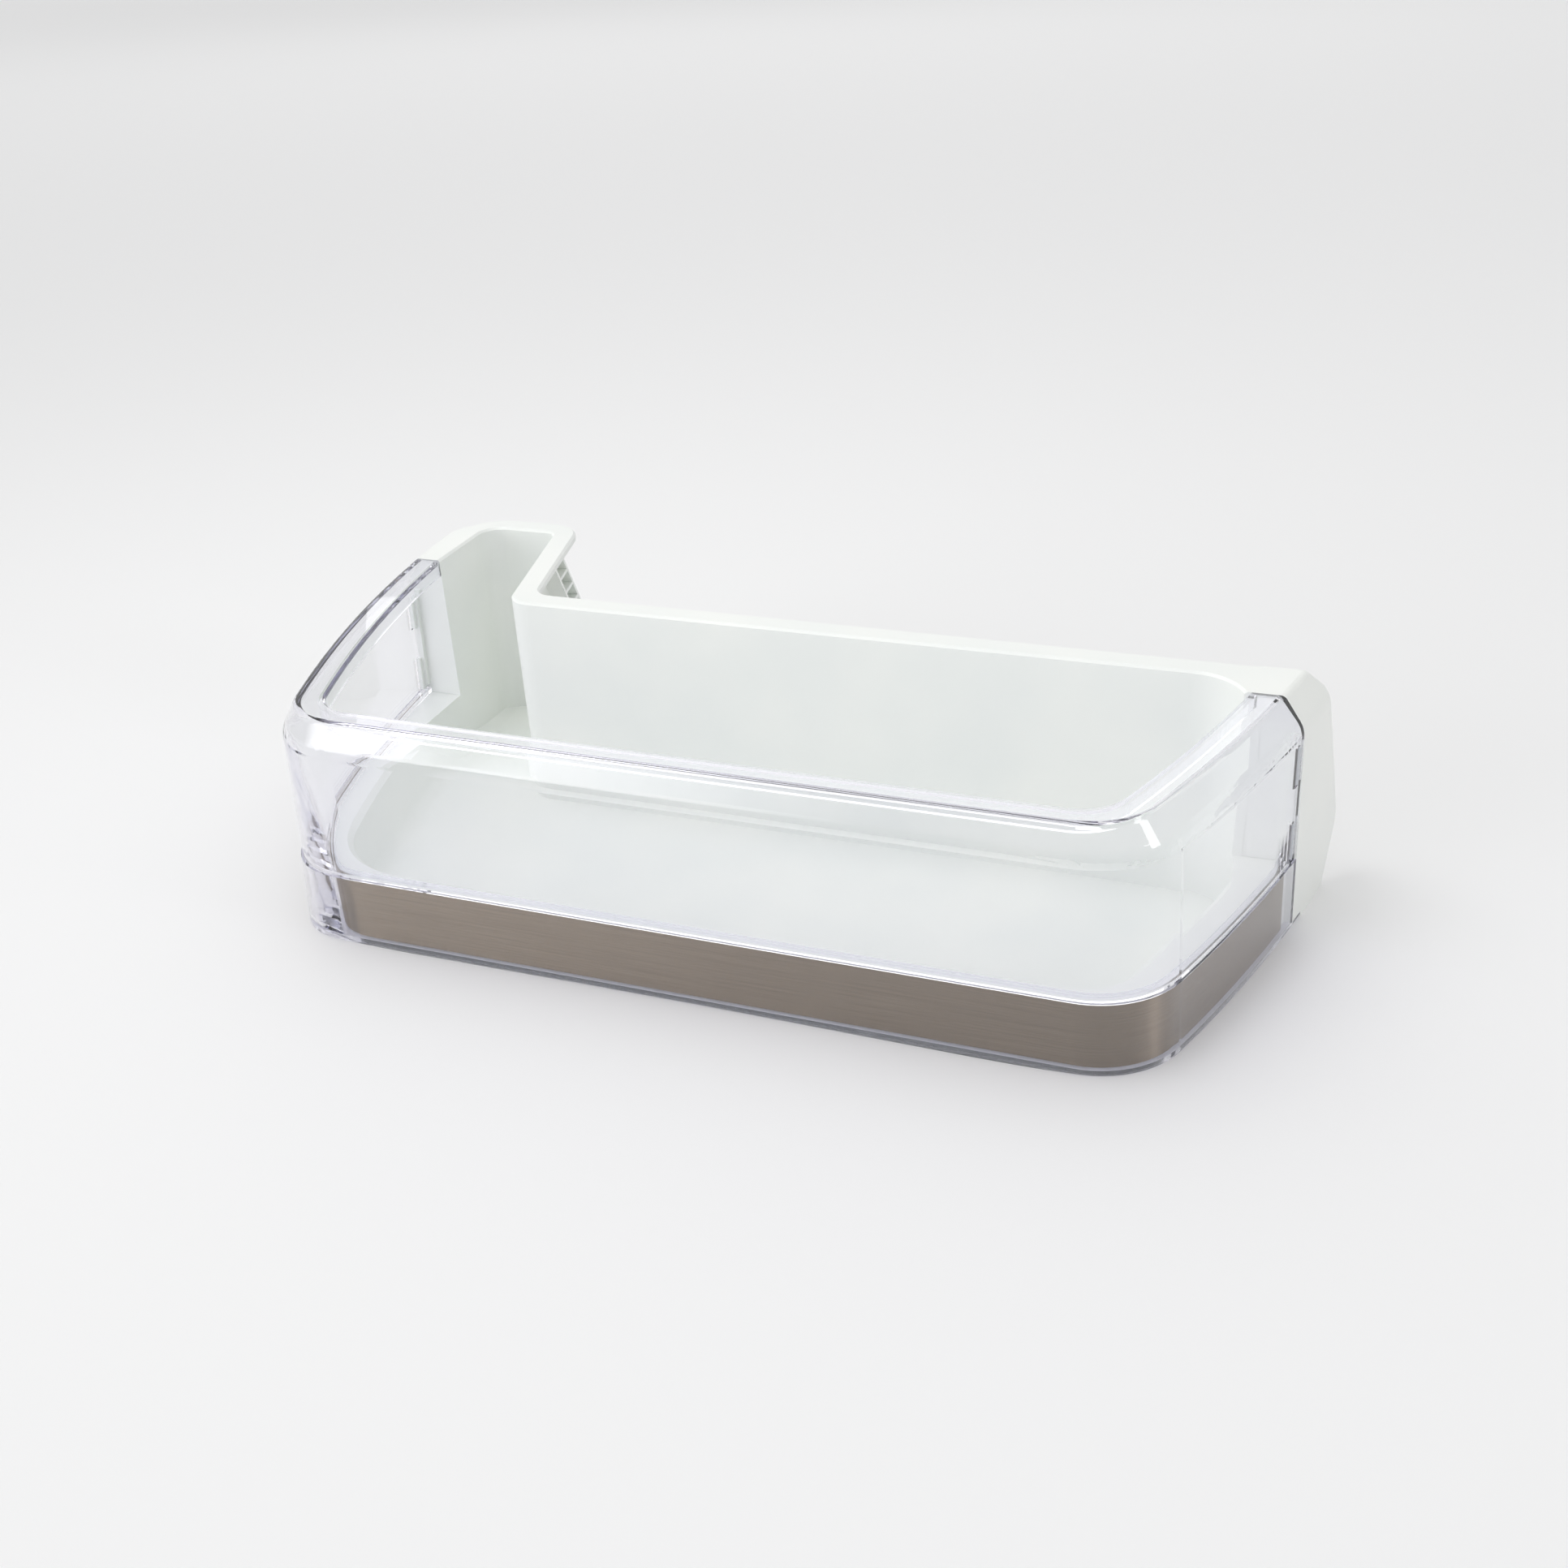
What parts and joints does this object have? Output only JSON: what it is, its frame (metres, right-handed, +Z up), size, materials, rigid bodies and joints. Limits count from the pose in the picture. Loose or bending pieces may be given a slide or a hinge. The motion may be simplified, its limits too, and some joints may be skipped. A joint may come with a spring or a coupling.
{
  "type": "fridge door shelf",
  "caption": "Door shelf for a refrigerator: white tray with a deep end pocket and hanging rail, clear wrap-round guard and a brushed trim strip.",
  "frame": {"origin": "middle of the overall box, on the plane the shelf stands on", "axes": "+X to the right seen from the front, +Y towards the door, +Z up"},
  "size_m": [0.4338, 0.223, 0.1],
  "materials": {
    "white_plastic": "satin moulded white",
    "clear_plastic": "clear, polished, faint violet tint at the edges",
    "brushed_strip": "fine brushed, warm grey"
  },
  "bodies": {
    "root": {"shelf_body": "white_plastic", "clear_guard": "clear_plastic", "trim_strip": "brushed_strip"}
  },
  "joints": []
}
